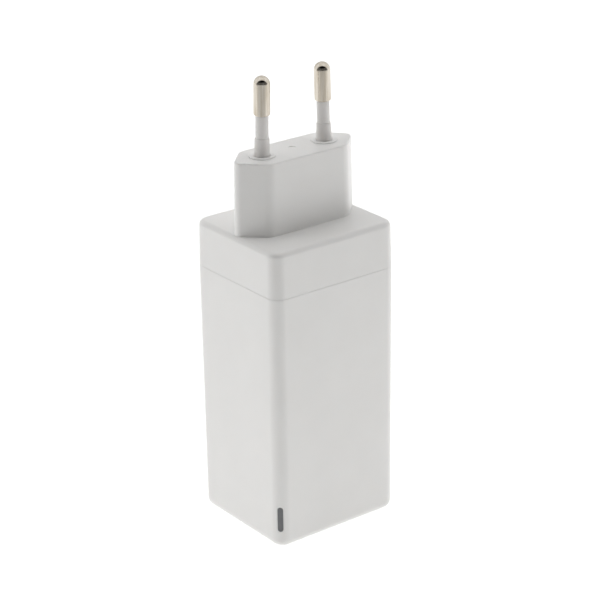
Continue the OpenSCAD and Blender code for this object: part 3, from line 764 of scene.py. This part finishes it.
plated = nickel_plate()
nylon = sleeve_nylon()
for side, word in ((-1, "left"), (1, "right")):
    pin = place(turned(f"plug_pin_{word}", pin_profile()), on_face(side))
    finish(smooth(pin), plated, "nickel_plated_brass", f"pin_{word}")
    sleeve = place(turned(f"pin_sleeve_{word}", sleeve_profile()), on_face(side))
    finish(smooth(sleeve), nylon, "sleeve_nylon", f"sleeve_{word}")
    seat = place(turned(f"pin_seat_{word}", seat_profile()), on_face(side, tilted=False))
    finish(smooth(seat), white_polycarbonate, "seat_plastic", f"collar_{word}")

# ------------------------------------------------------------------------------------------
# Studio
# A white tent with its rear wall turned down stands over a pale table. Its round opening faces the
# camera, with a grey card low in it. The table glows under and behind the charger, not in front.
# ------------------------------------------------------------------------------------------
FLOOR_SIZE = 8.0
GLOW = 0.52
GLOW_START = 0.1                     # metres from the charger towards the camera
GLOW_END = 0.34
TENT_GLOW = 1.03
REAR_GLOW = 0.84
REAR_START = -0.5                    # cosines from the opening's middle, where the wall turns down
REAR_END = -0.85
CARD_GLOW = 0.13
CARD_TOP = 30                        # degrees above the table
OPENING_LIFT = -11                   # where the middle of the round opening is, in degrees
OPENING_TURN = 2                     # and how far it is turned to the right of the camera
OPENING_HALF = 78                    # from its middle to its rim
AIM_UP = 56.113 * MM
AIM_RIGHT = 1.015 * MM
CAMERA_TURN = math.radians(-37.05)
CAMERA_LIFT = math.radians(22.80)
CAMERA_ROLL = math.radians(-0.90)
CAMERA_DISTANCE = 533.05 * MM
SENSOR = 36.0
LENS = 131.34

back = Vector((
    math.sin(CAMERA_TURN) * math.cos(CAMERA_LIFT),
    -math.cos(CAMERA_TURN) * math.cos(CAMERA_LIFT),
    math.sin(CAMERA_LIFT),
))
right = Vector((math.cos(CAMERA_TURN), math.sin(CAMERA_TURN), 0))
up = back.cross(right)
across = right * math.cos(CAMERA_ROLL) + up * math.sin(CAMERA_ROLL)
upward = up * math.cos(CAMERA_ROLL) - right * math.sin(CAMERA_ROLL)

camera = bpy.data.objects.new("camera", bpy.data.cameras.new("camera"))
bpy.context.scene.collection.objects.link(camera)
camera.data.lens = LENS
camera.data.sensor_width = SENSOR
camera.data.clip_start = 0.01
camera.data.clip_end = 20
where_from = right * AIM_RIGHT + Vector((0, 0, AIM_UP)) + back * CAMERA_DISTANCE
camera.matrix_world = Matrix.Translation(where_from) @ Matrix((across, upward, back)).transposed().to_4x4()
bpy.context.scene.camera = camera
bpy.context.scene.view_settings.view_transform = "Standard"


def table_top():
    """White acrylic table, lit from below except at its front."""
    material, tree, surface, where = start("white acrylic table", Roughness=0.6)
    surface.inputs["Specular IOR Level"].default_value = 0.1
    haze = spread(tree, grain(tree, where, 120 * MM), 0, 1)
    tree.links.new(tint(tree, haze, "F2F2F1", "F4F4F3"), surface.inputs["Base Color"])
    ahead = add(tree, "ShaderNodeVectorMath", {0: where, 1: (back.x, back.y, 0)}, operation="DOT_PRODUCT")
    reach = math.cos(CAMERA_LIFT)
    feeds = {
        "Value": ahead.outputs["Value"],
        "From Min": GLOW_START * reach, "From Max": GLOW_END * reach,
        "To Min": GLOW, "To Max": 0.0,
    }
    glow = add(tree, "ShaderNodeMapRange", feeds, interpolation_type="SMOOTHSTEP")
    surface.inputs["Emission Color"].default_value = (1, 1, 1, 1)
    tree.links.new(glow.outputs["Result"], surface.inputs["Emission Strength"])
    return material


corners = [(-1, -1), (1, -1), (1, 1), (-1, 1)]
floor_mesh = bpy.data.meshes.new("table")
floor_mesh.from_pydata([(x * FLOOR_SIZE / 2, y * FLOOR_SIZE / 2, 0) for x, y in corners], [], [(0, 1, 2, 3)])
floor = bpy.data.objects.new("table", floor_mesh)
bpy.context.scene.collection.objects.link(floor)
floor.data.materials.append(table_top())

world = bpy.data.worlds.new("white tent")
bpy.context.scene.world = world
world.use_nodes = True
tent = world.node_tree
lift = math.radians(OPENING_LIFT)
aside = CAMERA_TURN + math.radians(OPENING_TURN)
opening = Vector((math.sin(aside) * math.cos(lift), -math.cos(aside) * math.cos(lift), math.sin(lift)))
looking = add(tent, "ShaderNodeTexCoord").outputs["Generated"]
facing = add(tent, "ShaderNodeVectorMath", {0: looking, 1: opening}, operation="DOT_PRODUCT").outputs["Value"]
height = add(tent, "ShaderNodeSeparateXYZ", {"Vector": looking}).outputs["Z"]
card = add(tent, "ShaderNodeMapRange", {
    "Value": height,
    "From Min": math.sin(math.radians(CARD_TOP)), "From Max": math.sin(math.radians(CARD_TOP + 2)),
    "To Min": CARD_GLOW, "To Max": 0.0,
}).outputs["Result"]
walls = add(tent, "ShaderNodeMapRange", {
    "Value": facing, "From Min": REAR_END, "From Max": REAR_START, "To Min": REAR_GLOW, "To Max": TENT_GLOW,
}, interpolation_type="SMOOTHSTEP").outputs["Result"]
cloth = add(tent, "ShaderNodeMapRange", {
    "Value": facing,
    "From Min": math.cos(math.radians(OPENING_HALF + 1)),
    "From Max": math.cos(math.radians(OPENING_HALF - 1)),
    "To Min": walls, "To Max": card,
}, interpolation_type="SMOOTHSTEP").outputs["Result"]
seen = add(tent, "ShaderNodeLightPath").outputs["Is Camera Ray"]
backdrop = add(tent, "ShaderNodeMix", {"Factor": seen, "A": cloth, "B": 1.0})
tent.links.new(backdrop.outputs["Result"], tent.nodes["Background"].inputs["Strength"])
tent.nodes["Background"].inputs["Color"].default_value = (1, 1, 1, 1)
